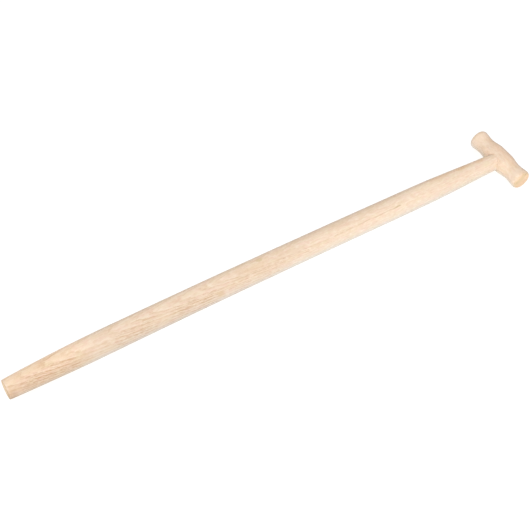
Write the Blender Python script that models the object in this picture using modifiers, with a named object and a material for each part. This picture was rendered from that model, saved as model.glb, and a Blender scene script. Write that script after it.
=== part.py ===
"""T-handled ash tool shaft: a turned shaft, a turned crutch grip and a tenon wedge.

The shaft lies along +X. The origin is the centre of its square-cut socket end,
the grip's length runs along Y, and +Z is up when the shaft lies on the ground.
"Top" means the +X side of the grip. All lengths are in metres.
"""

import math

import bmesh
import bpy
from mathutils import Matrix

# ---------------------------------------------------------------- dimensions
OVERALL = 0.900            # socket end face to the top of the grip

# shaft
SOCKET_END_DIA = 0.0298    # square-cut end that enters the tool socket
SOCKET_TAPER = 0.150       # length over which the end swells to the full body
SOCKET_TAPER_POWER = 1.8   # the taper is barrelled, not a straight cone
SOCKET_EDGE = 0.0012       # radius of the rounded edge at the end face
BODY_DIA_LOW = 0.0381      # at the end of the socket taper
BODY_DIA_HIGH = 0.0372     # at the start of the neck, before its taper is taken off
NECK_START = 0.735         # where the neck's taper sets in
NECK_BLEND = 0.0235        # softness of that change
NECK_SLOPE = 0.037         # loss of radius for each unit of length
NECK_END = 0.8742          # square shoulder at the bottom of the grip's housing
BOW = 0.0036               # the stick's natural bow towards +Y, halfway to BOW_END
BOW_END = 0.862            # the bow has run out here, just below the grip

# tenon, kerf and wedge
TENON_RADIUS = 0.0200 / 2
KERF_DEPTH = 0.0185
WEDGE_LENGTH = 0.0165
WEDGE_THICK = 0.0032       # at the top of the grip
WEDGE_TIP = 0.0012         # at its thin end
GAP = 0.0003               # clearance between neighbouring pieces
UNTRIMMED_END = OVERALL + 0.004    # tenon and wedge are left long, then trimmed flush
KERF_FLOOR = OVERALL - KERF_DEPTH
WEDGE_FLOOR = OVERALL - WEDGE_LENGTH

# grip
GRIP_LENGTH = 0.1142
GRIP_HALF = GRIP_LENGTH / 2
GRIP_MID_DIA = 0.0361      # plain barrel over the joint
GRIP_MID_HALF = 0.010      # half the barrel's length
GRIP_WAIST_DIA = 0.0302    # finger waists on either side
GRIP_WAIST_Y = 0.0341
GRIP_END_DIA = 0.0343      # flare towards the ends, before they are rounded
GRIP_ROUND_LONG = 0.0076   # rounding of the ends, along the grip
GRIP_ROUND_DEEP = 0.0038   # and inwards
GRIP_X = OVERALL - GRIP_MID_DIA / 2

# stations along the shaft
FIRST_BODY_STATION = 0.010     # first one past the rounded edge
NECK_STATIONS_START = 0.660    # closer spacing from here on
NECK_STATIONS_END = 0.860
HOUSING_START = 0.850          # the boring tool starts here, outside the grip

# cutting tools
BORE_OVERRUN = 0.006           # past the untrimmed end, for round tools
KERF_OVERRUN = 0.004           # past the untrimmed end
KERF_HEIGHT = 0.040            # in Z, wider than the tenon
WEDGE_HEIGHT = 0.024           # in Z, before the wedge is rounded to the tenon
ROUND_UNDERRUN = 0.004         # the wedge's rounding tool below the wedge's tip
TRIM_SIZE = (0.040, 0.050, 0.060)

# facets
SHAFT_SIDES = 48
GRIP_SIDES = 48
SOCKET_EDGE_STEPS = 3
GRIP_ROUND_STEPS = 6

ALONG_X = Matrix.Rotation(math.pi / 2, 4, "Y")     # local Z to world X
ALONG_Y = Matrix.Rotation(-math.pi / 2, 4, "X")    # local Z to world Y


# ---------------------------------------------------------------- profiles
def body_radius(x):
    """Radius of the shaft between the socket end and the neck's shoulder."""
    low, high = BODY_DIA_LOW / 2, BODY_DIA_HIGH / 2
    along = min(max((x - SOCKET_TAPER) / (NECK_START - SOCKET_TAPER), 0.0), 1.0)
    radius = low + (high - low) * along
    if x < SOCKET_TAPER:
        swell = low - SOCKET_END_DIA / 2
        radius -= swell * (1 - x / SOCKET_TAPER) ** SOCKET_TAPER_POWER
    run = x - NECK_START
    radius -= NECK_SLOPE * (math.hypot(run, NECK_BLEND) + run) / 2
    return radius


def bow_offset(x):
    """Offset in Y of the shaft's centre line: nothing at the socket end, and
    running out smoothly at the neck, so that the joint itself is straight."""
    along = min(max(x / BOW_END, 0.0), 1.0)
    return BOW * along * (1 - along) ** 1.5 / (0.5 * 0.5 ** 1.5)


def eased(start, end, along):
    """Cosine blend from start to end as along goes from 0 to 1."""
    share = (1 - math.cos(math.pi * min(max(along, 0.0), 1.0))) / 2
    return start + (end - start) * share


def grip_radius(y):
    """Radius of the grip at a distance y from its middle."""
    if y <= GRIP_WAIST_Y:
        along = (y - GRIP_MID_HALF) / (GRIP_WAIST_Y - GRIP_MID_HALF)
        radius = eased(GRIP_MID_DIA, GRIP_WAIST_DIA, along) / 2
    else:
        along = (y - GRIP_WAIST_Y) / (GRIP_HALF - GRIP_WAIST_Y)
        radius = eased(GRIP_WAIST_DIA, GRIP_END_DIA, along) / 2
    into = (y - (GRIP_HALF - GRIP_ROUND_LONG)) / GRIP_ROUND_LONG
    if into > 0:
        radius -= GRIP_ROUND_DEEP * (1 - math.sqrt(max(0.0, 1 - into * into)))
    return radius


def wedge_thickness(x):
    """Thickness of the wedge in Y, its taper carried on beyond both ends."""
    along = (x - WEDGE_FLOOR) / (OVERALL - WEDGE_FLOOR)
    return WEDGE_TIP + (WEDGE_THICK - WEDGE_TIP) * along


def spaced(start, end, steps):
    return [start + (end - start) * i / steps for i in range(steps + 1)]


def unique_down(stations):
    """Highest first, without repeated heights."""
    kept = []
    for height, radius in sorted(stations, key=lambda station: -station[0]):
        if not kept or kept[-1][0] - height > 1e-5:
            kept.append((height, radius))
    return kept


def shaft_stations():
    """(height, radius) from the untrimmed tenon down to the socket end."""
    stations = []
    for i in range(SOCKET_EDGE_STEPS + 1):
        angle = math.pi / 2 * i / SOCKET_EDGE_STEPS
        x = SOCKET_EDGE * (1 - math.cos(angle))
        stations.append((x, body_radius(x) - SOCKET_EDGE * (1 - math.sin(angle))))
    places = spaced(FIRST_BODY_STATION, SOCKET_TAPER, 9)
    places += spaced(SOCKET_TAPER, NECK_STATIONS_START, 9)
    places += spaced(NECK_STATIONS_START, NECK_STATIONS_END, 11)
    places.append(NECK_END)
    stations += [(x, body_radius(x)) for x in places]
    tenon = [(UNTRIMMED_END, TENON_RADIUS), (NECK_END, TENON_RADIUS)]
    return tenon + unique_down(stations)


def grip_stations():
    """(height, radius) from one end of the grip to the other."""
    places = [0.0]
    places += spaced(GRIP_MID_HALF, GRIP_HALF - GRIP_ROUND_LONG, 11)
    for i in range(1, GRIP_ROUND_STEPS + 1):
        angle = math.pi / 2 * i / GRIP_ROUND_STEPS
        places.append(GRIP_HALF - GRIP_ROUND_LONG * (1 - math.sin(angle)))
    places = sorted({round(y, 7) for y in places})
    return unique_down([(side * y, grip_radius(y)) for side in (1, -1) for y in places])


# ---------------------------------------------------------------- helpers
def new_collection(name):
    coll = bpy.data.collections.new(name)
    bpy.context.scene.collection.children.link(coll)
    return coll


def mesh_object(name, bm, coll):
    """Turn the bmesh into a linked object and free it."""
    mesh = bpy.data.meshes.new(name)
    bm.to_mesh(mesh)
    bm.free()
    obj = bpy.data.objects.new(name, mesh)
    coll.objects.link(obj)
    return obj


def bake(obj):
    """Replace the object's mesh with its evaluated mesh, modifiers applied."""
    bpy.context.view_layer.update()
    graph = bpy.context.evaluated_depsgraph_get()
    mesh = bpy.data.meshes.new_from_object(obj.evaluated_get(graph))
    obj.modifiers.clear()
    obj.data = mesh


def turned(name, stations, sides, direction, coll):
    """A turned solid, its axis laid along X or Y by the direction matrix.

    stations is a list of (height, radius), from the highest to the lowest. The
    profile starts and ends on the axis, and a Screw modifier sweeps it round.
    """
    bm = bmesh.new()
    points = [(stations[0][0], 0.0), *stations, (stations[-1][0], 0.0)]
    verts = [bm.verts.new((radius, 0.0, height)) for height, radius in points]
    for pair in zip(verts, verts[1:]):
        bm.edges.new(pair)
    obj = mesh_object(name, bm, coll)
    screw = obj.modifiers.new("turn", "SCREW")
    screw.axis = "Z"
    screw.angle = math.tau
    screw.steps = sides
    screw.render_steps = sides
    screw.use_merge_vertices = True
    screw.merge_threshold = 0.00001
    screw.use_normal_calculate = False
    screw.use_smooth_shade = True
    bake(obj)
    obj.data.transform(direction)
    return obj


def tapered_block(name, start, end, start_thick, end_thick, height, coll):
    """A block along X from start to end, its thickness in Y tapering between them."""
    bm = bmesh.new()
    bmesh.ops.create_cube(bm, size=1.0)
    for vert in bm.verts:
        at_end = vert.co.x > 0
        vert.co.x = end if at_end else start
        vert.co.y *= end_thick if at_end else start_thick
        vert.co.z *= height
    return mesh_object(name, bm, coll)


def as_cutter(obj):
    obj.hide_render = True
    obj.display_type = "WIRE"
    return obj


def cut(obj, tool, operation="DIFFERENCE"):
    boolean = obj.modifiers.new(operation.lower(), "BOOLEAN")
    boolean.operation = operation
    boolean.solver = "EXACT"
    boolean.object = tool


def wood(name, colour, roughness):
    mat = bpy.data.materials.new(name)
    mat.use_nodes = True
    shader = mat.node_tree.nodes["Principled BSDF"]
    shader.inputs["Base Color"].default_value = (*colour, 1.0)
    shader.inputs["Roughness"].default_value = roughness
    shader.inputs["Metallic"].default_value = 0.0
    mat.diffuse_color = (*colour, 1.0)
    return mat


# ---------------------------------------------------------------- pieces
def turned_grip(name, coll):
    """The grip before it is bored."""
    obj = turned(name, grip_stations(), GRIP_SIDES, ALONG_Y, coll)
    obj.location = (GRIP_X, 0.0, 0.0)
    return obj


def make_shaft():
    """Shaft with its tenon, bent to the bow."""
    obj = turned("shaft", shaft_stations(), SHAFT_SIDES, ALONG_X, parts)
    for vert in obj.data.vertices:
        vert.co.y += bow_offset(vert.co.x)
    obj.data.update()
    return obj


def make_grip():
    """Grip, bored with one stepped tool for the neck's housing and the tenon's hole."""
    obj = turned_grip("grip", parts)
    floor = NECK_END + GAP
    stations = [(x, TENON_RADIUS + GAP) for x in (UNTRIMMED_END + BORE_OVERRUN, floor)]
    stations += [(x, body_radius(x) + GAP) for x in reversed(spaced(HOUSING_START, floor, 6))]
    boring = turned("grip_boring", stations, SHAFT_SIDES, ALONG_X, tools)
    cut(obj, as_cutter(boring))
    return obj


def make_flush_trim():
    """Block reaching from the grip's axis to beyond its top, less the grip itself.

    It cuts the tenon and the wedge so that their ends follow the grip's round top.
    """
    length, width, height = TRIM_SIZE
    obj = tapered_block("flush_trim", -length / 2, length / 2, width, width, height, tools)
    obj.location = (GRIP_X + length / 2, 0.0, 0.0)
    cut(as_cutter(obj), as_cutter(turned_grip("grip_blank", tools)))
    return obj


def make_kerf():
    """Cutter for the slot in the tenon, clear of the wedge on both faces."""
    end = UNTRIMMED_END + KERF_OVERRUN
    return as_cutter(tapered_block("kerf", KERF_FLOOR, end,
                                   wedge_thickness(KERF_FLOOR) + 2 * GAP,
                                   wedge_thickness(end) + 2 * GAP, KERF_HEIGHT, tools))


def make_wedge():
    """Wedge, its edges rounded to the tenon."""
    obj = tapered_block("wedge", WEDGE_FLOOR, UNTRIMMED_END, wedge_thickness(WEDGE_FLOOR),
                        wedge_thickness(UNTRIMMED_END), WEDGE_HEIGHT, parts)
    ends = (UNTRIMMED_END + BORE_OVERRUN, WEDGE_FLOOR - ROUND_UNDERRUN)
    tenon_form = turned("wedge_round", [(x, TENON_RADIUS) for x in ends],
                        SHAFT_SIDES, ALONG_X, tools)
    cut(obj, as_cutter(tenon_form), "INTERSECT")
    return obj


def finish(obj, mat):
    obj.data.materials.append(mat)
    obj.data.shade_smooth()
    obj.data.set_sharp_from_angle(angle=math.radians(35))
    obj.parent = root
    weld = obj.modifiers.new("keep_clean", "WELD")
    weld.merge_threshold = 0.00001


# ---------------------------------------------------------------- scene
for old in list(bpy.data.objects):
    bpy.data.objects.remove(old)

parts = new_collection("t_handle_shaft")
tools = new_collection("cutters")
root = bpy.data.objects.new("t_handle_shaft_origin", None)
parts.objects.link(root)

shaft = make_shaft()
grip = make_grip()
flush_trim = make_flush_trim()
cut(shaft, make_kerf())
cut(shaft, flush_trim)
wedge = make_wedge()
cut(wedge, flush_trim)

finish(shaft, wood("ash_shaft", colour=(0.86, 0.71, 0.53), roughness=0.55))
finish(grip, wood("ash_grip", colour=(0.87, 0.71, 0.54), roughness=0.52))
finish(wedge, wood("wedge_wood", colour=(0.70, 0.50, 0.32), roughness=0.60))
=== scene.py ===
"""A turned ash shaft with a cross grip wedged on its far end.

The shaft lies along +X with its sawn end at x = 0. The grip runs along Y at the far end,
where the shaft's round tenon passes through it and is spread by a hardwood wedge.
+Z is up and -Y is the front. Meshes are in metres; the wood textures work in millimetres.
"""
import math
from functools import reduce
from operator import mul

import bmesh
import bpy
import numpy as np
from mathutils import Matrix, Vector, noise


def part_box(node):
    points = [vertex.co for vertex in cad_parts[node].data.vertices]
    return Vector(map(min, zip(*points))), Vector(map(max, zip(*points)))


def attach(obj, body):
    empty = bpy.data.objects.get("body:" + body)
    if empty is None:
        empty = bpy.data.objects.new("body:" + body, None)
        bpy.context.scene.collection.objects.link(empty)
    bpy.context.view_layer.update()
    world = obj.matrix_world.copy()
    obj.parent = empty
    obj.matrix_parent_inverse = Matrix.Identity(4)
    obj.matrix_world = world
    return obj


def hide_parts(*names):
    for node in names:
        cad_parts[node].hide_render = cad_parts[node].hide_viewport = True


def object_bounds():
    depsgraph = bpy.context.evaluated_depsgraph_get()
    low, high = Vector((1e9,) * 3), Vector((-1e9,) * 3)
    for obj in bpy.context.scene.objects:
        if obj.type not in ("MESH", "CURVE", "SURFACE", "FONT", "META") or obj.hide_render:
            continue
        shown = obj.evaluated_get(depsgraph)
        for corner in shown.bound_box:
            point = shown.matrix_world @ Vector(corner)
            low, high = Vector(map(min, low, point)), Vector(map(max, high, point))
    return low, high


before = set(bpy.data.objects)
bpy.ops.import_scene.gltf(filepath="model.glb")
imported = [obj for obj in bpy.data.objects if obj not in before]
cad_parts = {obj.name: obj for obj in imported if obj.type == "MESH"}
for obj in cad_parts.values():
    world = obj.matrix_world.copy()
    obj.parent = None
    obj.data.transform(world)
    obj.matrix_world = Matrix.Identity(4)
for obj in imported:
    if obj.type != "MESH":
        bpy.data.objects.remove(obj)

CAD_LO, CAD_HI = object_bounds()


# =====================================================================
# 1. Turned profiles and centre lines, read from the CAD
# =====================================================================
RING_STEP = 2e-6       # CAD points closer than this along the axis share a ring
TURNED_R = 0.012       # tenon and bore are thinner than this, neck and grip thicker
EDGE = 0.0012          # broken edge at the sawn end of the shaft
GRIP_ROUND = 0.0076    # length of the rounding at each end of the grip


def cad_points(node):
    return np.array([v.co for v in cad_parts[node].data.vertices], float)


def turned_rings(node, axis, centre, below=math.inf):
    """Rows of (position, two centre offsets, radius), one for each turned ring of a node."""
    points = cad_points(node)
    across = [i for i in range(3) if i != axis]
    levels = np.round(points[:, axis] / RING_STEP).astype(int)
    rows = []
    for level in np.unique(levels):
        ring = points[levels == level]
        position = ring[:, axis].mean()
        if len(ring) < 20 or not position < below:
            continue
        offsets = ring[:, across] - np.array(centre)
        # the shaft may bow, so its centre is measured; the grip is straight
        middle = (offsets.max(0) + offsets.min(0)) / 2 if axis == 0 else np.zeros(2)
        radii = np.hypot(*(offsets - middle).T)
        # a turned ring, and not just the corners a hole leaves on the surface
        if (radii > radii.max() * 0.9985).sum() >= 14:
            rows.append((position, middle[0], middle[1], radii.max()))
    rows.sort()
    return np.array(rows)


def spline(knots, values):
    """Natural cubic spline through the points, as a function."""
    knots, values = np.asarray(knots, float), np.asarray(values, float)
    count = len(knots)
    gaps = np.diff(knots)
    matrix = np.zeros((count, count))
    target = np.zeros(count)
    matrix[0, 0] = matrix[-1, -1] = 1
    for i in range(1, count - 1):
        matrix[i, i - 1:i + 2] = gaps[i - 1], 2 * (gaps[i - 1] + gaps[i]), gaps[i]
        target[i] = 3 * ((values[i + 1] - values[i]) / gaps[i]
                         - (values[i] - values[i - 1]) / gaps[i - 1])
    bend = np.linalg.solve(matrix, target)

    def evaluate(x):
        x = np.asarray(x, float)
        i = np.clip(np.searchsorted(knots, x) - 1, 0, count - 2)
        step = x - knots[i]
        slope = (values[i + 1] - values[i]) / gaps[i] - gaps[i] * (2 * bend[i] + bend[i + 1]) / 3
        cubic = (bend[i + 1] - bend[i]) / (3 * gaps[i])
        return values[i] + slope * step + bend[i] * step * step + cubic * step ** 3

    return evaluate


grip_lo, grip_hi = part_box("grip")
GRIP_HALF = (grip_hi.y - grip_lo.y) / 2
GRIP_R = (grip_hi.z - grip_lo.z) / 2
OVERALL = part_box("shaft")[1].x
GRIP_X = max(grip_hi.x, OVERALL) - GRIP_R

shaft_rings = turned_rings("shaft", 0, (0.0, 0.0), below=GRIP_X - 0.004)
# the square shoulder under the grip is the last ring of neck size
SHOULDER_X = float(shaft_rings[shaft_rings[:, 3] > TURNED_R][-1, 0])
body_rings = shaft_rings[shaft_rings[:, 0] <= SHOULDER_X + 1e-6]
flank_rings = body_rings[body_rings[:, 0] > EDGE * 0.99]
shaft_radius = spline(flank_rings[:, 0], flank_rings[:, 3])
shaft_bow = spline(body_rings[:, 0], body_rings[:, 1])
END_R = float(shaft_radius(EDGE))

shaft_points = cad_points("shaft")
tenon_points = shaft_points[shaft_points[:, 0] > SHOULDER_X + 0.003]
TENON_R = float(np.hypot(*tenon_points[:, 1:].T).max()) + 0.00012

# the wedge: half thickness grows evenly from the thin end to the edge of its crown
wedge_points = cad_points("wedge")
WEDGE_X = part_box("wedge")[0].x
THIN = float(np.abs(wedge_points[wedge_points[:, 0] < WEDGE_X + 0.0003][:, 1]).max())
THICK = float(np.abs(wedge_points[:, 1]).max())
THICK_X = float(wedge_points[np.abs(wedge_points[:, 1]) > THICK - 1e-5][:, 0].max())


def half_thick(x):
    return THIN + (THICK - THIN) * (x - WEDGE_X) / (THICK_X - WEDGE_X)


def grip_top(z, inset=0.0):
    """x of the grip's far side at height z."""
    return GRIP_X + math.sqrt((GRIP_R - inset) ** 2 - z * z)


def grip_profile():
    """(y, radius) points of half of the grip, from its middle to the end face."""
    rings = turned_rings("grip", 1, (GRIP_X, 0.0))
    rings = rings[rings[:, 3] > TURNED_R]
    half = rings[rings[:, 0] >= -1e-6]
    half[0, 0] = 0.0
    flank = half[half[:, 0] <= GRIP_HALF - GRIP_ROUND + 1e-4]
    rounding = half[half[:, 0] >= GRIP_HALF - GRIP_ROUND - 1e-4]
    # a few rings of the other half keep the curve level at the middle
    mirrored = np.vstack([flank[1:4][::-1] * [-1, 1, 1, 1], flank])
    flank_radius = spline(mirrored[:, 0], mirrored[:, 3])
    profile = [(y, float(flank_radius(y))) for y in np.linspace(0, flank[-1, 0], 120)]
    # the rounded end, as a smooth curve through the CAD's own corner points
    corner = np.vstack([[flank[-2, 0], flank[-2, 3]], rounding[:, [0, 3]]])
    travel = np.concatenate([[0], np.cumsum(np.hypot(*np.diff(corner, axis=0).T))])
    corner_y, corner_r = spline(travel, corner[:, 0]), spline(travel, corner[:, 1])
    for t in np.linspace(travel[1], travel[-1], 26)[1:]:
        profile.append((float(corner_y(t)), float(corner_r(t))))
    return profile


# =====================================================================
# 2. Mesh helpers
# =====================================================================
def wobble(point, scale, seed):
    x, y, z = point
    return noise.noise(Vector((x * scale + seed, y * scale - seed * 0.7, z * scale + seed * 1.3)))


def uneven(point, layers, lift=0):
    """Sum of noise layers (height, scale, seed); a lift of 1 keeps each from going negative."""
    return sum(height * (lift + wobble(point, scale, seed)) for height, scale, seed in layers)


def new_mesh(name, verts, faces):
    mesh = bpy.data.meshes.new(name)
    mesh.from_pydata([tuple(map(float, v)) for v in verts], [], faces)
    mesh.validate()
    mesh.update()
    obj = bpy.data.objects.new(name, mesh)
    bpy.context.scene.collection.objects.link(obj)
    return obj


def tube(rings):
    """Vertices and faces of a closed solid from rings; the first and last are single points."""
    verts, faces, start = [], [], [0]
    for ring in rings:
        verts.extend(ring)
        start.append(len(verts))
    for i in range(len(rings) - 1):
        near, far = start[i], start[i + 1]
        near_count, far_count = len(rings[i]), len(rings[i + 1])
        count = max(near_count, far_count)
        for j in range(count):
            k = (j + 1) % count
            if near_count == 1:
                faces.append((near, far + k, far + j))
            elif far_count == 1:
                faces.append((near + j, near + k, far))
            else:
                faces.append((near + j, near + k, far + k, far + j))
    return verts, faces


def cut(obj, tool):
    """Take the tool's shape out of the object, then delete the tool."""
    boolean = obj.modifiers.new("cut", "BOOLEAN")
    boolean.operation = "DIFFERENCE"
    boolean.solver = "EXACT"
    boolean.object = tool
    bpy.context.view_layer.update()
    depsgraph = bpy.context.evaluated_depsgraph_get()
    mesh = bpy.data.meshes.new_from_object(obj.evaluated_get(depsgraph), depsgraph=depsgraph)
    obj.modifiers.clear()
    old = obj.data
    obj.data = mesh
    tool_mesh = tool.data
    bpy.data.objects.remove(tool)
    for spent in (old, tool_mesh):
        bpy.data.meshes.remove(spent)


def smooth(obj, degrees):
    obj.data.shade_smooth()
    obj.data.set_sharp_from_angle(angle=math.radians(degrees))


def unit_circle(count):
    """(cosine, sine) pairs once round."""
    angles = np.linspace(0, math.tau, count, endpoint=False)
    return list(zip(np.cos(angles), np.sin(angles)))


def plain_ring(circle, x, radius, y=0.0):
    return [(x, y + cos * radius, sin * radius) for cos, sin in circle]


# =====================================================================
# 3. Shaft
# =====================================================================
SHAFT_SEGMENTS = 128
SAWN_FRACTIONS = (0.12, 0.26, 0.40, 0.54, 0.67, 0.79, 0.88, 0.94)
EDGE_RINGS = 8
EDGE_GAP = 0.0004       # from the broken edge to where the flank rings are counted
FLANK_STEP = 0.00175    # spacing of the flank rings
TENON_END_X = GRIP_X + 0.012    # last evenly spaced ring of the tenon
# rings of the tenon's top: fraction of its radius, depth below the grip's curve
TENON_TOP = [(1.0, 0.00014), (0.985, 0.00004)] + [
    (f, 0) for f in (0.93, 0.84, 0.74, 0.62, 0.5, 0.37, 0.24, 0.12)]
KERF_GAP = 0.00007      # between the wedge's taper and each side of the kerf
KERF_HALF_Z = 0.020


def sawn_ring(circle, fraction):
    """A ring of the sawn end face, slightly rough and scored by the saw."""
    radius = (END_R - EDGE) * fraction / SAWN_FRACTIONS[-1]
    ring = []
    for cos, sin in circle:
        y, z = cos * radius, sin * radius
        point = (0.0, y, z)
        score = math.sin(z * 2600.0 + 3 * wobble(point, 90, 2.0))
        dip = uneven(point, [(0.00005, 240.0, 11.0)], lift=1) + 0.00004 * (1 + score)
        ring.append((dip * (0.4 + 0.6 * (1 - fraction)), y, z))
    return ring


def edge_ring(circle, angle):
    """A ring of the unevenly broken edge, from the face (0) to the flank (a quarter turn)."""
    ring = []
    for cos, sin in circle:
        point = (0.0, cos * END_R, sin * END_R)
        edge = EDGE * (1.0 + uneven(point, [(0.22, 160.0, 5.0), (0.12, 420.0, 9.0)]))
        radius = END_R - edge * (1 - math.sin(angle)) * 0.98 - 0.0001
        ring.append((edge * (1 - math.cos(angle)), cos * radius, sin * radius))
    return ring


def flank_ring(circle, x):
    """A ring of the sanded flank; its unevenness fades out before the shoulder."""
    centre_y = float(shaft_bow(x))
    turned = float(shaft_radius(x))
    fade = min(1.0, max(0.0, (SHOULDER_X - 0.020 - x) / 0.03))
    ring = []
    for cos, sin in circle:
        point = (x, cos * 0.019, sin * 0.019)
        sanding = uneven(point, [(0.00009, 22.0, 3.1), (0.00003, 95.0, 7.7)])
        radius = turned + sanding * fade - 0.00010 * fade
        ring.append((x, centre_y + cos * radius, sin * radius))
    return ring


def tenon_rings(circle):
    """The tenon, its top following the far side of the grip."""
    rings = [plain_ring(circle, x, TENON_R) for x in np.linspace(SHOULDER_X, TENON_END_X, 22)]
    inset = 0.00008
    for blend in (0.35, 0.7):
        ring = []
        for cos, sin in circle:
            z = sin * TENON_R
            rise = grip_top(z, inset) - 0.00015 - TENON_END_X
            ring.append((TENON_END_X + rise * blend, cos * TENON_R, z))
        rings.append(ring)
    for fraction, sink in TENON_TOP:
        ring = []
        for cos, sin in circle:
            y, z = cos * TENON_R * fraction, sin * TENON_R * fraction
            rough = uneven((0.9, y, z), [(0.00003, 420.0, 4.0)], lift=1)
            ring.append((grip_top(z, inset) - (sink + rough), y, z))
        rings.append(ring)
    rings.append([(grip_top(0, inset) - 0.00003, 0.0, 0.0)])
    return rings


def build_shaft():
    circle = unit_circle(SHAFT_SEGMENTS)
    rings = [[(0.0, 0.0, 0.0)]]
    rings += [sawn_ring(circle, fraction) for fraction in SAWN_FRACTIONS]
    rings += [edge_ring(circle, math.pi / 2 * k / EDGE_RINGS) for k in range(1, EDGE_RINGS + 1)]
    steps = int((SHOULDER_X - EDGE) / FLANK_STEP)
    for i in range(1, steps + 1):
        x = EDGE + EDGE_GAP + (SHOULDER_X - EDGE - EDGE_GAP) * i / steps
        rings.append(flank_ring(circle, x))
    ledge = float(shaft_radius(SHOULDER_X)) - TENON_R
    rings += [plain_ring(circle, SHOULDER_X, TENON_R + ledge * f) for f in (0.66, 0.33)]
    rings += tenon_rings(circle)
    return new_mesh("shaft_ash", *tube(rings))


def build_kerf_tool():
    """The wedge's own taper, a hairline wider and longer at both ends."""
    verts = []
    for x in (WEDGE_X - 0.002, OVERALL + 0.006):
        half = half_thick(x) + KERF_GAP
        verts += [(x, -half, -KERF_HALF_Z), (x, half, -KERF_HALF_Z),
                  (x, half, KERF_HALF_Z), (x, -half, KERF_HALF_Z)]
    faces = [(j, (j + 1) % 4, 4 + (j + 1) % 4, 4 + j) for j in range(4)]
    faces += [(3, 2, 1, 0), (4, 5, 6, 7)]
    return new_mesh("kerf_tool", verts, faces)


shaft = build_shaft()
cut(shaft, build_kerf_tool())
smooth(shaft, 40)


# =====================================================================
# 4. Grip
# =====================================================================
GRIP_SEGMENTS = 224
FACE_FRACTIONS = (0.1, 0.22, 0.34, 0.46, 0.58, 0.7, 0.8, 0.88, 0.94, 0.98)
TENON_FIT = 0.00010     # hairline between tenon and grip
NECK_FIT = 0.00012      # the neck sits in a drilled housing, a little looser
HOUSING_X = SHOULDER_X - 0.030
STEP_X = SHOULDER_X + 0.0002    # where the housing steps down to the through hole


def grip_face_ring(circle, y, radius, sign):
    """A ring of an end face, dented inwards; sign is the end's direction along Y."""
    ring = []
    for cos, sin in circle:
        x, z = cos * radius, sin * radius
        dent = uneven((x, y, z), [(0.00004, 260.0, 21.0), (0.00002, 700.0, 1.0)], lift=1)
        ring.append((GRIP_X + x, y - sign * dent, z))
    return ring


def grip_side_ring(circle, y, radius):
    """A ring of the sanded side; the unevenness dies away at the joint."""
    near = max(0.0, 1 - abs(y) / 0.018)
    ring = []
    for cos, sin in circle:
        point = (cos * radius, y, sin * radius)
        sanding = uneven(point, [(0.00008, 40.0, 13.0), (0.00003, 120.0, 17.0)])
        sanded = radius + sanding * (1 - near) - 0.00008
        ring.append((GRIP_X + cos * sanded, y, sin * sanded))
    return ring


def build_grip():
    circle = unit_circle(GRIP_SEGMENTS)
    half = grip_profile()
    end_y, end_r = half[-1]
    face_r = end_r - 0.0001
    rings = [[(GRIP_X, -end_y, 0.0)]]
    rings += [grip_face_ring(circle, -end_y, face_r * f, -1.0) for f in FACE_FRACTIONS]
    for y, radius in [(-y, radius) for y, radius in half[::-1]] + half[1:]:
        rings.append(grip_side_ring(circle, y, radius))
    rings += [grip_face_ring(circle, end_y, face_r * f, 1.0) for f in FACE_FRACTIONS[::-1]]
    rings.append([(GRIP_X, end_y, 0.0)])
    verts, faces = tube(rings)
    # for a tube along +Y the (x, z) circle winds the other way
    return new_mesh("grip_ash", verts, [tuple(reversed(face)) for face in faces])


def build_boring_tool():
    """Stepped boring tool: the housing follows the neck, then the through hole."""
    circle = unit_circle(SHAFT_SEGMENTS)
    end_x = OVERALL + 0.008
    rings = [[(HOUSING_X, 0.0, 0.0)]]
    for x in np.linspace(HOUSING_X, STEP_X, 16):
        rings.append(plain_ring(circle, x, float(shaft_radius(min(x, SHOULDER_X))) + NECK_FIT))
    rings += [plain_ring(circle, x, TENON_R + TENON_FIT) for x in (STEP_X, end_x)]
    rings.append([(end_x, 0.0, 0.0)])
    return new_mesh("boring_tool", *tube(rings))


grip = build_grip()
cut(grip, build_boring_tool())
smooth(grip, 42)


# =====================================================================
# 5. Wedge
# =====================================================================
WEDGE_ROWS = 22         # along X
WEDGE_COLUMNS = 26      # along Z
WEDGE_HALF_Z = TENON_R - 0.00005
WEDGE_INSET = 0.00002   # each broad side lies this far inside the CAD taper


def wedge_point(i, j, side):
    z = -WEDGE_HALF_Z + 2 * WEDGE_HALF_Z * j / WEDGE_COLUMNS
    top_x = grip_top(z) - 0.00010 - uneven((0.0, 0.0, z), [(0.00005, 500.0, 3.0)])
    x = WEDGE_X + (top_x - WEDGE_X) * (i / WEDGE_ROWS)
    # thinner at both edges, as rounded corners
    edge = min(1.0, min(j, WEDGE_COLUMNS - j) / 1.5)
    half = (half_thick(x) - WEDGE_INSET) * (0.82 + 0.18 * edge)
    # keep inside the round hole
    limit = math.sqrt(max(1e-9, WEDGE_HALF_Z ** 2 - half * half))
    return x, side * half, max(-limit, min(limit, z * (1 - 0.004 * (1 - edge))))


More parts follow.
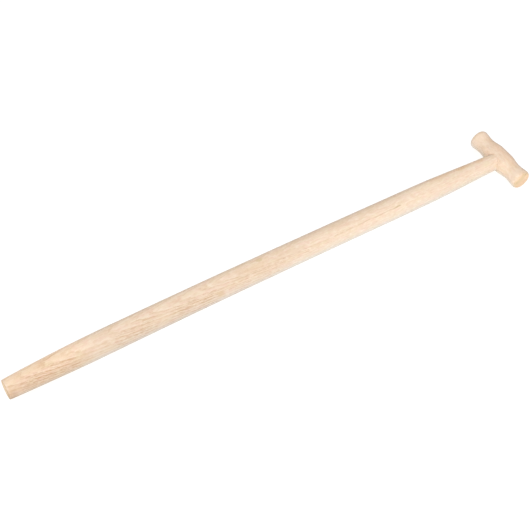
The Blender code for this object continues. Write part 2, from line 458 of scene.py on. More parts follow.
def build_wedge():
    """A riven hardwood wedge with rounded corners, cut flush at the top."""
    verts, index, faces = [], {}, []
    for side in (-1, 1):
        for i in range(WEDGE_ROWS + 1):
            for j in range(WEDGE_COLUMNS + 1):
                index[i, j, side] = len(verts)
                verts.append(wedge_point(i, j, side))

    def close(start, end, flip):
        """Join the two broad sides along one step of the outline."""
        quad = (index[*start, -1], index[*start, 1], index[*end, 1], index[*end, -1])
        faces.append(quad[::-1] if flip else quad)

    for i in range(WEDGE_ROWS):
        for j in range(WEDGE_COLUMNS):
            corners = ((i, j), (i + 1, j), (i + 1, j + 1), (i, j + 1))
            faces.append(tuple(index[*corner, 1] for corner in corners[::-1]))
            faces.append(tuple(index[*corner, -1] for corner in corners))
    for i in range(WEDGE_ROWS):
        close((i, 0), (i + 1, 0), flip=False)
        close((i, WEDGE_COLUMNS), (i + 1, WEDGE_COLUMNS), flip=True)
    for j in range(WEDGE_COLUMNS):
        close((0, j), (0, j + 1), flip=True)
        close((WEDGE_ROWS, j), (WEDGE_ROWS, j + 1), flip=False)
    obj = new_mesh("tenon_wedge", verts, faces)
    mesh = bmesh.new()
    mesh.from_mesh(obj.data)
    bmesh.ops.recalc_face_normals(mesh, faces=mesh.faces)
    mesh.to_mesh(obj.data)
    mesh.free()
    smooth(obj, 35)
    return obj


wedge = build_wedge()


# =====================================================================
# 6. Shader graphs
# =====================================================================
class Value:
    """A node's output to reckon with: every operation adds nodes to its graph."""

    def __init__(self, graph, socket):
        self.graph = graph
        self.socket = socket

    def math(self, operation, *others):
        return self.graph.math(operation, self, *others)

    def __add__(self, other):
        return self.math("ADD", other)

    def __radd__(self, other):
        return self.graph.math("ADD", other, self)

    def __sub__(self, other):
        return self.math("SUBTRACT", other)

    def __rsub__(self, other):
        return self.graph.math("SUBTRACT", other, self)

    def __mul__(self, other):
        return self.math("MULTIPLY", other)

    def __truediv__(self, other):
        return self.math("DIVIDE", other)

    def __abs__(self):
        return self.math("ABSOLUTE")

    def scale_add(self, factor, offset):
        return self.math("MULTIPLY_ADD", factor, offset)

    def hypot(self, other):
        return (self * self + other * other).math("SQRT")

    def degrees_from(self, other):
        """Angle from the other axis towards this one."""
        return self.math("ARCTAN2", other) * math.degrees(1.0)

    def split(self):
        node = self.graph.node("ShaderNodeSeparateXYZ", {0: self})
        return [Value(self.graph, socket) for socket in node.outputs]

    def step(self, start, stop, low=0.0, high=1.0):
        """Smooth step from low at start to high at stop."""
        inputs = {"Value": self, "From Min": start, "From Max": stop,
                  "To Min": low, "To Max": high}
        return self.graph.value("ShaderNodeMapRange", inputs, "Result",
                                interpolation_type="SMOOTHSTEP", clamp=True)

    def window(self, rise, full, fall, end):
        """Rises from rise to full, stays at one, falls from fall to end."""
        return self.step(rise, full) * self.step(end, fall)

    def mix(self, amount, colour, blend="MIX"):
        return self.graph.mix(amount, self, colour, blend)

    def tint(self, amount, factors):
        """Multiply this colour by the factors where amount is one."""
        return self.mix(amount, self.mix(1.0, factors, "MULTIPLY"))


class Graph:
    def __init__(self, owner):
        owner.use_nodes = True
        self.tree = owner.node_tree
        self.tree.nodes.clear()
        self.x = 0

    def node(self, kind, inputs, **settings):
        node = self.tree.nodes.new(kind)
        node.location = (self.x, 0)
        self.x += 40
        for name, setting in settings.items():
            setattr(node, name, setting)
        for key, value in inputs.items():
            socket = node.inputs[key]
            if isinstance(value, Value):
                self.tree.links.new(value.socket, socket)
            else:
                socket.default_value = (*value, 1.0) if isinstance(value, tuple) else value
        return node

    def value(self, kind, inputs, output=0, **settings):
        return Value(self, self.node(kind, inputs, **settings).outputs[output])

    def math(self, operation, *operands, clamp=False):
        return self.value("ShaderNodeMath", dict(enumerate(operands)),
                          operation=operation, use_clamp=clamp)

    def noise(self, place, detail=2.0, rough=0.5):
        vector = self.value("ShaderNodeCombineXYZ", dict(enumerate(place)))
        inputs = {"Vector": vector, "Scale": 1.0, "Detail": detail, "Roughness": rough}
        return self.value("ShaderNodeTexNoise", inputs, "Fac", noise_dimensions="3D")

    def noise_line(self, place):
        return self.value("ShaderNodeTexNoise", {"W": place, "Scale": 1.0, "Detail": 1.0},
                          "Fac", noise_dimensions="1D")

    def ramp(self, value, stops, interpolation):
        """Grey colour ramp through (position, brightness) stops."""
        node = self.node("ShaderNodeValToRGB", {0: value})
        ramp = node.color_ramp
        ramp.interpolation = interpolation
        while len(ramp.elements) > 1:
            ramp.elements.remove(ramp.elements[-1])
        ramp.elements[0].position = stops[0][0]
        ramp.elements[0].color = (*([stops[0][1]] * 3), 1)
        for position, grey in stops[1:]:
            ramp.elements.new(position).color = (grey, grey, grey, 1)
        return Value(self, node.outputs[0])

    def staircase(self, value, edges):
        """Straight-line interpolation of value through evenly numbered edges."""
        low, span = edges[0], edges[-1] - edges[0]
        last = len(edges) - 1
        stops = [((edge - low) / span, k / last) for k, edge in enumerate(edges)]
        return self.ramp((value - low) / span, stops, "LINEAR") * float(last)

    def mix(self, amount, first, second, blend="MIX"):
        # inputs 6 and 7 and output 2 are the node's colour sockets
        return self.value("ShaderNodeMix", {0: amount, 6: first, 7: second}, 2,
                          data_type="RGBA", blend_type=blend, clamp_factor=True)

    def mix_shaders(self, amount, first, second):
        return self.value("ShaderNodeMixShader", {0: amount, 1: first, 2: second})

    def finish(self, shader, kind="ShaderNodeOutputMaterial"):
        self.node(kind, {"Surface": shader})


# =====================================================================
# 7. Wood
# =====================================================================
# brightness through one year, from its inner edge to its outer edge
EARLY_STOPS = [(0.0, 0.60), (0.03, 1.0), (0.20, 0.86), (0.42, 0.42),
               (0.68, 0.12), (0.90, 0.04), (0.985, 0.04), (1.0, 0.30)]
LATE_STOPS = [(0.0, 0.10), (0.04, 0.0), (0.25, 0.08), (0.55, 0.50),
              (0.82, 0.90), (0.975, 1.0), (1.0, 0.55)]
YEAR_SHIFT = 0.0    # added to a year's age before its own strength is drawn

# patches of colour: noise length, width, offset, detail and roughness, then for each
# colour laid on by it: noise from, noise to, amount, palette name
PATCHES = [
    (90.0, 26.0, 17.0, 2.0, 0.5, [(0.35, 0.75, 0.40, "tan")]),
    (40.0, 14.0, 23.0, 2.0, 0.5, [(0.40, 0.72, 0.50, "pink")]),
    (13.0, 5.0, 29.0, 2.0, 0.5, [(0.48, 0.66, 0.58, "rose")]),
    (16.0, 6.0, 37.0, 2.0, 0.5, [(0.48, 0.66, 0.55, "olive")]),
    (55.0, 0.85, 47.0, 3.0, 0.65, [(0.54, 0.76, 0.42, "shade"), (0.46, 0.26, 0.42, "glint")]),
    (22.0, 0.32, 53.0, 2.0, 0.6, [(0.55, 0.80, 0.30, "shade")]),
    (8.0, 2.9, 41.0, 2.0, 0.6, [(0.48, 0.32, 0.60, "glint"), (0.52, 0.68, 0.52, "shade")]),
]


class Grain:
    """Textures stretched along the three wood directions, with sizes in mm."""

    def __init__(self, graph, along, tangential, radial, seed):
        self.graph = graph
        self.along = along
        self.tangential = tangential
        self.radial = radial
        self.seed = seed

    def noise(self, length, width, offset, depth=None, detail=2.0, rough=0.5):
        place = (self.along.scale_add(1 / length, self.seed + offset),
                 self.tangential.scale_add(1 / width, self.seed * 0.37 - offset),
                 self.radial.scale_add(1 / (depth or width), offset * 0.61 - self.seed))
        return self.graph.noise(place, detail, rough)

    def cells(self, length, width, depth):
        place = {0: self.along * (1 / length), 1: self.tangential * (1 / width),
                 2: self.radial * (1 / depth)}
        vector = self.graph.value("ShaderNodeCombineXYZ", place)
        return self.graph.value("ShaderNodeTexVoronoi", {"Vector": vector, "Scale": 1.0},
                                "Distance", voronoi_dimensions="3D", feature="F1")


def year_rings(grain, calm, pith, wave, ring, years):
    """Early wood, late wood and a random strength for each year."""
    graph = grain.graph
    # the trunk wanders a little, so the rings wave; at the finest scale the
    # rows of pores step in and out, which a shallow cut draws as ragged points
    slow = grain.noise(150.0, 46.0, 1.3, detail=1.0)
    quick = grain.noise(26.0, 9.0, 5.1)
    jag = grain.noise(9.0, 1.9, 2.7, rough=0.55)
    radial = (grain.radial + (slow - 0.5) * (4.2 * wave)
              + (quick - 0.5) * 1.1 * calm.scale_add(0.6, 0.4) + (jag - 0.5) * 1.15 * calm)
    from_pith = (radial + pith).hypot(grain.tangential)
    # good years and bad years
    if years:
        age = graph.staircase(from_pith, [pith + edge for edge in years])
    else:
        age = from_pith * (1 / ring) + (graph.noise_line(from_pith * 0.10) - 0.5) * 1.1
    phase = age.math("FRACT")
    strength = graph.value("ShaderNodeTexWhiteNoise", {"W": (age + YEAR_SHIFT).math("FLOOR")},
                           "Value", noise_dimensions="1D")
    # early wood: an abrupt start, then fading into dense late wood
    return (graph.ramp(phase, EARLY_STOPS, "EASE"), graph.ramp(phase, LATE_STOPS, "EASE"),
            strength)


def broken_early(grain, early, strength):
    """Early wood broken into dashes and dots, stronger in some years and patches."""
    dash = grain.noise(8.5, 2.3, 8.0, depth=1.9, rough=0.6)
    dots_run = grain.noise(4.5, 0.55, 15.0, rough=0.6)
    early = early * dash.step(0.38, 0.62, 0.10, 1.50)
    early = early * dots_run.step(0.25, 0.70, 0.65, 1.25)
    early = early * strength.scale_add(0.55, 0.72)
    patch = grain.noise(70.0, 22.0, 12.0, detail=1.0)
    return early * patch.step(0.3, 0.7, 0.65, 1.2)


def painted_grazing_light(graph, colour, end, x):
    """Painted grazing light on sanded wood: a painted dark edge along the top and a painted cool
    reflection of the pale floor underneath.
    """
    facing = graph.value("ShaderNodeLayerWeight", {"Blend": 0.5}, "Facing")
    normal = graph.value("ShaderNodeNewGeometry", {}, "Normal")
    side = 1.0 - end
    low = normal.split()[2].step(0.42, -0.12)
    # painted cool reflection where the lower side is seen at a grazing angle
    colour = colour.tint(low * side * facing.step(0.20, 0.74), (0.855, 0.955, 1.058))
    # painted shade where the top is seen at a grazing angle, weaker by the sawn end
    top = (1.0 - low) * side * facing.step(0.40, 0.88)
    return colour.tint(top * x.step(95.0, 140.0, 0.30, 0.62), (0.68, 0.68, 0.72))


def wood(name, layout, end_axis, pith, palette, seed, ring=None, years=None, wave=1.0,
         streak=1.0, figure=lambda x, y: (1.0, 0.75), painted_shade=None, ragged=None, open_pores=1.0,
         end_dark=0.75, end_rings=1.0, marks=None, rough=0.55):
    """Ring-porous hardwood as a solid texture.

    layout(x, y, z) gives the three wood directions in mm: along the grain, tangential and
    radial; end_axis is the object axis (0 = X, 1 = Y) along the grain. pith is the distance
    from the piece to the heart of the tree. A year is about ring mm wide, or years lists
    the edges. wave scales the slow wander of the rings, and ragged how far their edges
    step in and out. figure gives how strongly the early wood shows and how much paler late
    wood is; streak scales the early wood and open_pores the pores. tone lays a painted shade
    over the piece, multiplied in with the deep colour. end_dark and end_rings set the end
    grain, and marks paints the piece's own marks together with painted highlights and shade.
    rough is the roughness of bare late wood.
    """
    material = bpy.data.materials.new(name)
    graph = Graph(material)
    metres = graph.value("ShaderNodeTexCoord", {}, "Object")
    x, y, z = graph.value("ShaderNodeVectorMath", {0: metres, "Scale": 1000.0},
                          operation="SCALE").split()
    grain = Grain(graph, *layout(x, y, z), seed)
    normal = graph.value("ShaderNodeNewGeometry", {}, "Normal").split()
    end = abs(normal[end_axis]).step(0.72, 0.97)
    calm = 1.0 - end * 0.82
    if ragged:
        calm = calm * ragged(y)
    early, late, strength = year_rings(grain, calm, pith, wave, ring, years)
    early_wood = broken_early(grain, early, strength)
    shown, contrast = figure(x, y)

    # pores: long open vessels, crowded in the early wood
    pores = grain.cells(6.5, 0.44, 0.44).step(0.42, 0.20) * early.step(0.30, 0.70)
    dots = grain.cells(2.6, 0.26, 0.26).step(0.26, 0.12) * early.step(0.0, 0.4, 0.35, 1.0)
    # rays: thin ribbons from the heart outwards
    rays = grain.cells(1.5, 0.20, 5.0).step(0.30, 0.12)
    fibre = grain.noise(34.0, 0.60, 3.0, detail=3.0, rough=0.6)
    fine = grain.noise(9.0, 0.25, 7.0, rough=0.6)

    pale = late * contrast + fibre.step(0.72, 0.30, -0.06, 0.36)
    colour = graph.mix(pale, palette["mid"], palette["light"])
    for length, width, offset, detail, roughness, layers in PATCHES:
        patch = grain.noise(length, width, offset, detail=detail, rough=roughness)
        for start, stop, amount, paint in layers:
            colour = colour.mix(patch.step(start, stop, 0.0, amount), palette[paint])
    colour = colour.mix(early_wood * shown * (0.80 * streak), palette["early"])
    # a painted shade, multiplied in with the deep colour
    if painted_shade:
        colour = colour.mix(painted_shade(x, y), palette["deep"], "MULTIPLY")
    colour = colour.mix(rays * 0.13, palette["ray"])
    colour = colour.mix(fine.step(0.52, 0.80) * 0.14, palette["early"])
    # shown may be a plain number, so these products are asked for as nodes
    dot_depth = graph.math("MULTIPLY", shown, 0.20)
    pore_depth = graph.math("MULTIPLY", shown, 0.50 * streak * open_pores)
    colour = colour.mix(dots * dot_depth, palette["pore"])
    colour = colour.mix(pores * pore_depth, palette["pore"])

    # end grain drinks light
    end_colour = colour.mix(1.0, palette["end"], "MULTIPLY")
    end_colour = end_colour.mix(early * (0.45 * end_rings), palette["end_early"])
    end_colour = end_colour.mix(rays.step(0.2, 0.9) * 0.10, palette["ray"])
    colour = colour.mix(end * end_dark, end_colour)
    if marks:
        colour = marks(graph, colour, x, y, z)
    # painted grazing light: a dark top edge and a cool reflection underneath
    colour = painted_grazing_light(graph, colour, end, x)

    # sanding runs round the turned piece, saw marks across the end grain
    across, around = 3.2, 0.35
    sand = graph.noise((x * (across if end_axis == 0 else around),
                        y * (across if end_axis == 1 else around), z * around),
                       detail=3.0, rough=0.7)
    saw = graph.noise((x * 0.4, y * 0.9, z * 6.0))
    height = (0.6 - pores * 0.55 - dots * 0.15 - early_wood * 0.16 + fine * 0.10
              + sand * 0.12 + saw * end * 0.35)
    bump = graph.value("ShaderNodeBump",
                       {"Strength": 0.55, "Distance": 0.00009, "Height": height}, "Normal")
    roughness = rough + early_wood * 0.10 + pores * 0.12 + (sand - 0.5) * 0.12
    roughness = graph.math("ADD", roughness, end * 0.16, clamp=True)
    graph.finish(graph.value("ShaderNodeBsdfPrincipled", {
        "Base Color": colour, "Roughness": roughness, "Normal": bump,
        "Metallic": 0.0, "Specular IOR Level": 0.24}))
    return material


def tint_zones(colour, zones, measures, mask=None):
    """Tint the zones of a table; each is limited along one or more named measures,
    by a step (two edges) or a window (four edges)."""
    for limits, factors in zones:
        parts = [measures[name].step(*edges) if len(edges) == 2 else measures[name].window(*edges)
                 for name, edges in limits.items()]
        if mask is not None:
            parts.append(mask)
        colour = colour.tint(reduce(mul, parts), factors)
    return colour


ASH = {
    "light": (0.930, 0.770, 0.612),
    "mid": (0.892, 0.695, 0.512),
    "early": (0.680, 0.440, 0.260),
    "tan": (0.850, 0.655, 0.480),
    "pink": (0.910, 0.695, 0.560),
    "rose": (0.905, 0.650, 0.525),
    "olive": (0.870, 0.720, 0.510),
    "deep": (0.842, 0.818, 0.800),
    "glint": (0.965, 0.820, 0.665),
    "shade": (0.825, 0.615, 0.435),
    "ray": (0.890, 0.740, 0.580),
    "pore": (0.460, 0.280, 0.150),
    "end": (0.960, 0.900, 0.760),
    "end_early": (0.560, 0.400, 0.205),
}
ASH_GRIP = ASH | {
    "light": (0.935, 0.760, 0.605),
    "mid": (0.915, 0.725, 0.560),
    "early": (0.780, 0.550, 0.360),
    "tan": (0.860, 0.665, 0.490),
    "pink": (0.920, 0.690, 0.550),
    "rose": (0.915, 0.660, 0.520),
    "olive": (0.870, 0.715, 0.500),
}
BEECH = {
    "light": (0.560, 0.370, 0.240),
    "mid": (0.500, 0.320, 0.200),
    "early": (0.400, 0.240, 0.140),
    "tan": (0.470, 0.300, 0.180),
    "pink": (0.540, 0.340, 0.230),
    "rose": (0.530, 0.320, 0.210),
    "olive": (0.500, 0.340, 0.190),
    "deep": (0.950, 0.880, 0.780),
    "glint": (0.600, 0.400, 0.260),
    "shade": (0.440, 0.270, 0.160),
    "ray": (0.420, 0.250, 0.150),
    "pore": (0.300, 0.180, 0.100),
    "end": (0.780, 0.700, 0.620),
    "end_early": (0.260, 0.150, 0.085),
}


# ---------------------------------------------------------------------
# Shaft wood: x in mm from the sawn end, angles in degrees, 0 on top and 90 at the front
# ---------------------------------------------------------------------
# where one year ends and the next begins, measured down from the heart side, in mm:
# mostly even, with a few lean years
SHAFT_YEARS = [-61.0, -57.5, -54.4, -53.3, -50.4, -47.5, -45.2, -43.9, -40.9, -37.8, -36.0,
               -32.6, -27.7, -23.8, -19.5, -15.6, -11.2, -7.2, -3.0, 1.0, 5.2, 9.1, 13.4,
               17.3, 21.0]

# patches of vessel rows: window along x, window round the shaft, strength
VESSEL_PATCHES = [
    ((152.0, 166.0, 222.0, 238.0), (18.0, 34.0, 76.0, 90.0), 0.52),
    ((254.0, 266.0, 290.0, 300.0), (16.0, 28.0, 56.0, 70.0), 0.80),
    ((300.0, 308.0, 330.0, 346.0), (26.0, 38.0, 62.0, 76.0), 0.60),
    ((346.0, 366.0, 430.0, 600.0), (22.0, 34.0, 50.0, 66.0), 0.48),
]

# broad tones of the flank, some of them painted light: limits, red green blue factors
SHAFT_TINTS = [
    # paler along the top, more so by the sawn end
    (dict(angle=(12.0, -14.0), x=(520.0, 400.0)), (1.045, 1.040, 1.030)),
    (dict(angle=(30.0, 4.0), x=(150.0, 95.0)), (1.060, 1.066, 1.062)),
    # a light patch between top and front, and a darker band beyond it
    (dict(angle=(24.0, 34.0, 52.0, 64.0), x=(40.0, 62.0, 98.0, 116.0)), (1.045, 1.055, 1.070)),
    (dict(angle=(-2.0, 14.0, 30.0, 46.0), x=(110.0, 150.0, 470.0, 520.0)),
     (0.965, 0.958, 0.955)),
    # a painted cool reflection of the pale floor along the front, browner by the sawn end
    (dict(angle=(44.0, 72.0)), (0.962, 1.0, 1.045)),
    (dict(angle=(30.0, 62.0), x=(138.0, 96.0)), (0.985, 0.940, 0.885)),
    # front of the neck
    (dict(x=(765.0, 800.0), angle=(60.0, 84.0)), (0.975, 0.965, 0.930)),
    # a light patch on top, painted light over the top of the neck's end against the shade by the
    # grip, and the neck's warm top
    (dict(x=(680.0, 705.0, 745.0, 765.0), angle=(-22.0, -6.0, 10.0, 24.0)),
     (1.040, 1.045, 1.045)),
    (dict(x=(852.0, 866.0), angle=(4.0, -18.0)), (1.150, 1.110, 1.110)),
    (dict(x=(715.0, 770.0), angle=(12.0, -14.0)), (1.015, 0.985, 0.955)),
]

# stains, and one painted shadow: centre x, reach along x, centre angle, reach round, colour,
# amount, edge seed
TAN_BROWN = (0.700, 0.500, 0.290)
OLIVE = (0.720, 0.580, 0.310)
ORANGE = (0.800, 0.530, 0.300)
STAINS_UNDER_WASH = [
    (334.0, 6.5, 59.0, 17.0, TAN_BROWN, 0.42, 1.0),
    (398.0, 26.0, 10.0, 17.0, (0.810, 0.570, 0.350), 0.30, 15.0),
    (411.0, 7.0, -14.0, 12.0, (0.700, 0.540, 0.290), 0.55, 2.0),
]
STAINS_AND_SHADOW_OVER_WASH = [
    (24.0, 8.0, 2.0, 13.0, OLIVE, 0.14, 11.0),
    (13.0, 7.0, 58.0, 17.0, (0.740, 0.520, 0.330), 0.42, 16.0),
    (3.0, 4.0, 62.0, 34.0, (0.760, 0.540, 0.350), 0.50, 17.0),
    (66.0, 9.0, 14.0, 10.0, OLIVE, 0.26, 12.0),
    (60.0, 15.0, -20.0, 11.0, ORANGE, 0.26, 3.0),
    (108.0, 8.0, 38.0, 14.0, (0.740, 0.580, 0.350), 0.30, 4.0),
    (755.0, 28.0, -20.0, 15.0, ORANGE, 0.32, 5.0),
    (802.0, 17.0, -16.0, 19.0, ORANGE, 0.56, 6.0),
    (838.0, 10.0, -8.0, 16.0, (0.840, 0.570, 0.370), 0.62, 7.0),
    (846.0, 9.0, 30.0, 20.0, (0.860, 0.740, 0.500), 0.45, 13.0),
    (6.0, 9.0, 108.0, 26.0, (0.640, 0.400, 0.230), 0.55, 14.0),
    (152.0, 14.0, 67.0, 12.0, TAN_BROWN, 0.18, 18.0),
    (238.0, 12.0, 53.0, 12.0, TAN_BROWN, 0.18, 19.0),
    (513.0, 17.0, 41.0, 9.0, TAN_BROWN, 0.20, 20.0),
    # painted shadow under the neck where it meets the grip
    (864.0, 11.0, 92.0, 24.0, (0.740, 0.540, 0.360), 0.66, 21.0),
    (650.0, 60.0, -24.0, 12.0, TAN_BROWN, 0.16, 8.0),
    (520.0, 70.0, -24.0, 12.0, TAN_BROWN, 0.14, 9.0),
]


def shaft_layout(x, y, z):
    """The layers sink towards the grip over the first 400 mm, then level out, and
    the heart of the tree was above the shaft."""
    past = x - 400.0
    knee = (past * past + 80.0 ** 2).math("SQRT")
    climb = x * 0.018 + (x + 400.0 - knee) * 0.0290
    return x, y, (z + climb + 2.0) * -1.0


def shaft_figure(x, y):
    """Boldest at the sawn end and along the front, fading out towards the grip."""
    front = y.step(2.0, -13.0)
    shown = x.step(130.0, 82.0, 0.0, 0.60)
    shown = shown + x.window(145.0, 175.0, 212.0, 236.0) * 0.40
    shown = shown + x.window(240.0, 265.0, 310.0, 338.0) * 0.45
    shown = shown + x.window(338.0, 372.0, 415.0, 465.0) * 0.28
    shown = shown * front.scale_add(0.90, 0.14)
    shown = shown * x.step(2.0, 24.0, 0.35, 1.0)
    contrast = x.step(300.0, 560.0, 0.84, 0.42) * x.step(90.0, 150.0, 0.50, 1.0)
    return shown + x.step(330.0, 560.0, 0.28, 0.12), contrast


def shaft_front_shade(x, y):
    """Painted shade: darker along the front from the sawn end, fading out from 200 mm to 620 mm."""
    front = y.step(-2.0, -16.0)
    return x.step(620.0, 200.0) * front


def vessel_rows(graph, x, angle):
    """Short wavy rows of open vessels, slanting down the front towards the grip."""
    arc = angle * 0.325
    wave = (graph.noise((x * (1 / 16.0), arc * (1 / 6.0), 3.7), detail=1.0) - 0.5) * 4.2
    ripple = (graph.noise((x * (1 / 4.6), arc * (1 / 2.6), 8.1), detail=1.0) - 0.5) * 2.0
    row = (arc - x * 0.150 + wave + ripple) * (1 / 2.75)
    line = abs(row.math("FRACT") - 0.5).step(0.34, 0.06)
    broken = graph.noise((x * (1 / 6.5), row.math("FLOOR") * 3.17, 1.3), detail=1.0)
    return line * broken.step(0.40, 0.56)


def paint_vessels(graph, colour, x, angle, flank):
    rows = vessel_rows(graph, x, angle)
    # the patch by the sawn end stops in a rounded tip
    bend = (angle - 62.0) * (1 / 8.0)
    tip = x.step(14.0, 30.0) * (x + bend * bend).step(113.0, 103.0)
    tip = tip * (angle.step(-2.0, 56.0, 0.10, 1.0) * x.step(50.0, 84.0, 1.0, 0.74))
    second, third, fourth, fifth = [
        x.window(*along) * (angle.window(*around) * strength)
        for along, around, strength in VESSEL_PATCHES]
    where = tip + second + (third + fourth + fifth)
    where = graph.math("MULTIPLY", where, flank, clamp=True)
    return colour.mix(rows * where * 0.64, (0.548, 0.340, 0.198))


def paint_soft_patches(graph, colour, x, angle, flank, stains):
    """Soft patches with ragged edges."""
    for centre_x, reach_x, centre_angle, reach_angle, paint, amount, seed in stains:
        along = (x - centre_x) * (1 / reach_x)
        around = (angle - centre_angle) * (1 / reach_angle)
        distance = along.hypot(around)
        edge = graph.noise((x * (1 / 5.0), angle * (1 / 9.0), seed))
        distance = distance + (edge - 0.5) * 1.3
        colour = colour.mix(distance.step(1.15, 0.45) * amount * flank, paint)
    return colour


def paint_gum_line(graph, colour, x, angle):
    """A fine broken gum line between top and front that ends in a fleck."""
    arc = (angle - 37.0) * (18.7 * math.pi / 180)
    wave = (graph.noise_line(x * (1 / 18.0)) - 0.5) * 2.2
    distance = abs(arc - wave)
    gaps = graph.noise_line(x * (1 / 11.0)).step(0.34, 0.54, 0.15, 1.0)
    line = distance.step(1.30, 0.20) * gaps * x.window(490.0, 560.0, 664.0, 668.0)
    colour = colour.mix(line * 0.38, (0.560, 0.375, 0.190))
    fleck = distance.step(1.70, 0.40) * x.window(650.0, 658.0, 664.5, 668.5)
    return colour.mix(fleck * 0.38, (0.520, 0.385, 0.150))


def shaft_marks(graph, colour, x, y, z):
    """Rows of vessels, tones with some painted light, stains with a painted shadow under the neck,
    the sawn end with a painted highlight and a painted shade line, and gum line.
    """
    end_r = END_R * 1000
    radius = y.hypot(z)
    flank = radius.step(end_r - 1.3, end_r - 0.5)
    angle = ((y - 1.8) * -1.0).degrees_from(z)
    colour = paint_vessels(graph, colour, x, angle, flank)
    colour = tint_zones(colour, SHAFT_TINTS, dict(x=x, angle=angle), flank)
    colour = paint_soft_patches(graph, colour, x, angle, flank, STAINS_UNDER_WASH)
    # a warm wash over the top by the sawn end
    warm = x.step(150.0, 80.0) * angle.step(60.0, 20.0) * flank
    colour = colour.tint(warm * 0.80, (1.030, 0.985, 0.940))
    # stains, with a painted shadow under the neck by the grip
    colour = paint_soft_patches(graph, colour, x, angle, flank, STAINS_AND_SHADOW_OVER_WASH)
    # the sawn end: scuffed at the front, a painted highlight as a pale rim on the top of the broken
    # edge, a painted shade line round the face
    scuffed = x.step(17.0, 6.0) * angle.step(46.0, 76.0) * radius.step(5.0, 11.0)
    colour = colour.tint(scuffed, (0.890, 0.865, 0.865))
    # painted highlight along the top of the broken edge
    rim = flank * x.step(4.2, 1.2) * angle.step(74.0, 30.0)
    colour = colour.mix(rim * 0.42, (0.900, 0.720, 0.590))
    # painted shade line just inside the edge of the end face
    face_edge_shade = radius.step(end_r - 3.6, end_r - 1.6) * x.step(0.55, 0.10)
    colour = colour.mix(face_edge_shade * 0.45, (0.520, 0.360, 0.200))
    return paint_gum_line(graph, colour, x, angle)


# ---------------------------------------------------------------------
# Grip wood: angles in degrees, 0 on top, 90 at the far side and -90 at the neck side
# ---------------------------------------------------------------------
# broad tones: limits, red green blue factors
GRIP_TINTS = [
    # browner over the top and far side
    (dict(angle=(-34.0, -4.0, 60.0, 110.0), radius=(9.0, 13.0)), (0.955, 0.905, 0.865)),
    # front half, neck side: a light strip and a darker one below it
    (dict(angle=(-72.0, -52.0, -44.0, -26.0), y=(6.0, -16.0)), (1.050, 1.060, 1.055)),
    (dict(angle=(-76.0, -98.0), y=(4.0, -16.0)), (0.950, 0.940, 0.940)),
    # back half, neck side: a pale patch
    (dict(angle=(-88.0, -66.0, -50.0, -34.0), y=(-2.0, 9.0, 22.0, 34.0)),
     (1.075, 1.040, 1.032)),
]


def grip_layout(x, y, z):
    """Grain along the grip; the rings cross it at a slant."""
    out = x - GRIP_X * 1000
    slant = math.radians(-40)
    tangential = out * math.cos(slant) - z * math.sin(slant)
    radial = out * math.sin(slant) + z * math.cos(slant)
    return y, tangential, radial + y * 0.022


def paint_grip_ends(graph, colour, out, y, z, half):
    """Painted highlights as pale bands near the ends, and tan end faces with an olive band."""
    off_middle = abs(y)
    # painted highlight: a pale band round the side near each end
    rim = off_middle.window(half - 21.0, half - 13.0, half - 7.5, half - 3.0)
    colour = colour.mix(rim * 0.42, (0.965, 0.790, 0.640))
    face = off_middle.step(half - 3.0, half - 0.6)
    grain = graph.noise((out * 0.22, y * 0.05, z * 0.22))
    band = out * -0.62 + z * 0.78 + (grain - 0.5) * 5.0
    colour = colour.mix(face * 0.60, (0.885, 0.610, 0.385))
    colour = colour.tint(face * z.step(9.0, 0.0), (0.925, 0.925, 0.925))
    stripe = abs(band - 7.4).step(7.4, 2.4)
    return colour.mix(face * stripe * 0.56, (0.700, 0.550, 0.330))


def grip_marks(graph, colour, x, y, z):
    """Flames, tones, end faces with painted rim highlights, painted shade round the joint, and a
    small speck by the front rim.
    """
    half = GRIP_HALF * 1000
    out = x - GRIP_X * 1000
    # broad warm and pale flames along the grain
    flame = graph.noise((y * (1 / 17.0), out * (1 / 6.0), z.scale_add(1 / 6.0, 5.3)), rough=0.55)
    side = out.step(-9.0, 12.0, 0.45, 1.0)
    colour = colour.mix(flame.step(0.50, 0.70) * (side * 0.46), (0.820, 0.560, 0.380))
    colour = colour.mix(flame.step(0.46, 0.30, 0.0, 0.45), (0.940, 0.780, 0.640))
    measures = dict(angle=out.degrees_from(z), radius=out.hypot(z), y=y)
    colour = tint_zones(colour, GRIP_TINTS, measures)
    colour = paint_grip_ends(graph, colour, out, y, z, half)
    # painted shadow in the corner where the lower front of the neck meets the grip
    joint_shadow = (y + 12.0).hypot(z + 7.6).step(3.4, 1.2)
    colour = colour.mix(joint_shadow * out.step(0.0, -6.0) * 0.62, (0.460, 0.290, 0.140))
    # a small brown speck by the front rim
    speck = (out - 3.5).hypot(z - 12.5).step(1.9, 0.7)
    colour = colour.mix(speck * y.step(0.0, -half + 5.0) * 0.55, (0.520, 0.330, 0.180))
    # painted shade round the neck where it enters the grip, mostly at the back
    joint_shade = y.hypot(z).step(15.4, 13.8) * (out.step(0.0, -6.0) * y.step(-4.0, 8.0, 0.05, 1.0))
    return colour.mix(joint_shade * 0.34, (0.700, 0.400, 0.240))


def wedge_layout(x, y, z):
    return x, z * 1.0, y + x * 0.02


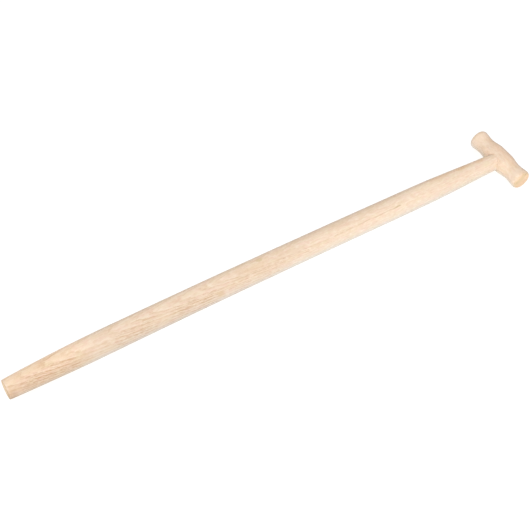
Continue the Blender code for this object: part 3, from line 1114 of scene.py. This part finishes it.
shaft_wood = wood("ash_shaft", shaft_layout, end_axis=0, pith=95.0, palette=ASH, seed=4.0,
                  years=SHAFT_YEARS, wave=0.35, figure=shaft_figure, painted_shade=shaft_front_shade,
                  ragged=lambda y: y.step(-3.0, -12.0, 0.38, 1.0), end_dark=0.85,
                  marks=shaft_marks)
grip_wood = wood("ash_grip", grip_layout, end_axis=1, pith=44.0, palette=ASH_GRIP, seed=19.0,
                 ring=3.6, streak=0.40, figure=lambda x, y: (0.40, 0.50), open_pores=2.6,
                 end_dark=0.55, end_rings=0.35, marks=grip_marks)
wedge_wood = wood("wedge_wood", wedge_layout, end_axis=0, pith=30.0, palette=BEECH, seed=31.0,
                  ring=2.1, rough=0.6)

# object, material, CAD node it replaces, slot
PIECES = [
    (shaft, shaft_wood, "shaft", "ash_shaft"),
    (grip, grip_wood, "grip", "ash_grip"),
    (wedge, wedge_wood, "wedge", "wedge_wood"),
]


def set_material(obj, material):
    obj.data.materials.clear()
    obj.data.materials.append(material)


for obj, material, node, slot in PIECES:
    set_material(obj, material)
    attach(obj, "root")
    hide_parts(node)
for _, material, node, _ in PIECES:
    set_material(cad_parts[node], material)


# =====================================================================
# 8. Stage: pale floor, soft light, camera
# =====================================================================
FLOOR_HALF = 12.0
FLOOR_GAP = 0.0002          # the floor lies this far below the product
WHITE = (1.0, 1.0, 1.0)
SKY_RISE, SKY_BASE = 1.24, 0.04     # sky strength gained up to the zenith, and at the horizon
KEY_PLACE = (-3.40, -6.70, 2.07)
KEY_TARGET = (0.45, 0.0, 0.0)
CAMERA_PLACE = (-0.15034, -0.79185, 1.23081)
CAMERA_RIGHT = (0.84449, -0.53350, 0.04701)
CAMERA_UP = (0.39320, 0.67721, 0.62192)


def build_floor():
    """A softly glowing floor, clear from below."""
    z = CAD_LO.z - FLOOR_GAP
    corners = [(x * FLOOR_HALF, y * FLOOR_HALF, z) for x, y in ((-1, -1), (1, -1), (1, 1), (-1, 1))]
    floor = new_mesh("floor", corners, [(0, 1, 2, 3)])
    material = bpy.data.materials.new("pale_floor")
    graph = Graph(material)
    diffuse = graph.value("ShaderNodeBsdfDiffuse", {"Color": (0.30, 0.30, 0.30)})
    glow = graph.value("ShaderNodeEmission", {"Color": WHITE, "Strength": 0.80})
    lit = graph.value("ShaderNodeAddShader", {0: diffuse, 1: glow})
    clear = graph.value("ShaderNodeBsdfTransparent", {})
    below = graph.value("ShaderNodeNewGeometry", {}, "Backfacing")
    graph.finish(graph.mix_shaders(below, lit, clear))
    floor.data.materials.append(material)


def build_world():
    """A soft dome, brightest overhead, that the camera sees as plain white."""
    world = bpy.data.worlds.new("studio")
    bpy.context.scene.world = world
    graph = Graph(world)
    height = graph.value("ShaderNodeTexCoord", {}, "Generated").split()[2]
    strength = height.math("MAXIMUM", 0.0).scale_add(SKY_RISE, SKY_BASE)
    dome = graph.value("ShaderNodeBackground", {"Color": WHITE, "Strength": strength})
    seen = graph.value("ShaderNodeBackground", {"Color": WHITE, "Strength": 1.0})
    camera_ray = graph.value("ShaderNodeLightPath", {}, "Is Camera Ray")
    graph.finish(graph.mix_shaders(camera_ray, dome, seen), "ShaderNodeOutputWorld")


def build_key_light():
    data = bpy.data.lights.new("key", "AREA")
    data.shape = "DISK"
    data.size = 4.95
    data.energy = 270.0
    light = bpy.data.objects.new("key", data)
    light.location = KEY_PLACE
    light.rotation_mode = "QUATERNION"
    aim = Vector(KEY_TARGET) - Vector(KEY_PLACE)
    light.rotation_quaternion = aim.to_track_quat("-Z", "Y")
    bpy.context.scene.collection.objects.link(light)


def build_camera():
    data = bpy.data.cameras.new("camera")
    data.sensor_fit = "HORIZONTAL"
    data.sensor_width = 36.0
    data.lens = 70.71
    data.clip_start = 0.05
    data.clip_end = 60
    camera = bpy.data.objects.new("camera", data)
    bpy.context.scene.collection.objects.link(camera)
    right = Vector(CAMERA_RIGHT).normalized()
    up = Vector(CAMERA_UP)
    up = (up - right * up.dot(right)).normalized()
    turn = Matrix((right, up, right.cross(up))).transposed()
    camera.matrix_world = Matrix.Translation(CAMERA_PLACE) @ turn.to_4x4()
    bpy.context.scene.camera = camera


build_floor()
build_world()
build_key_light()
build_camera()

view = bpy.context.scene.view_settings
view.view_transform = "Standard"
view.look = "None"
view.exposure = 0.0
view.gamma = 1.0
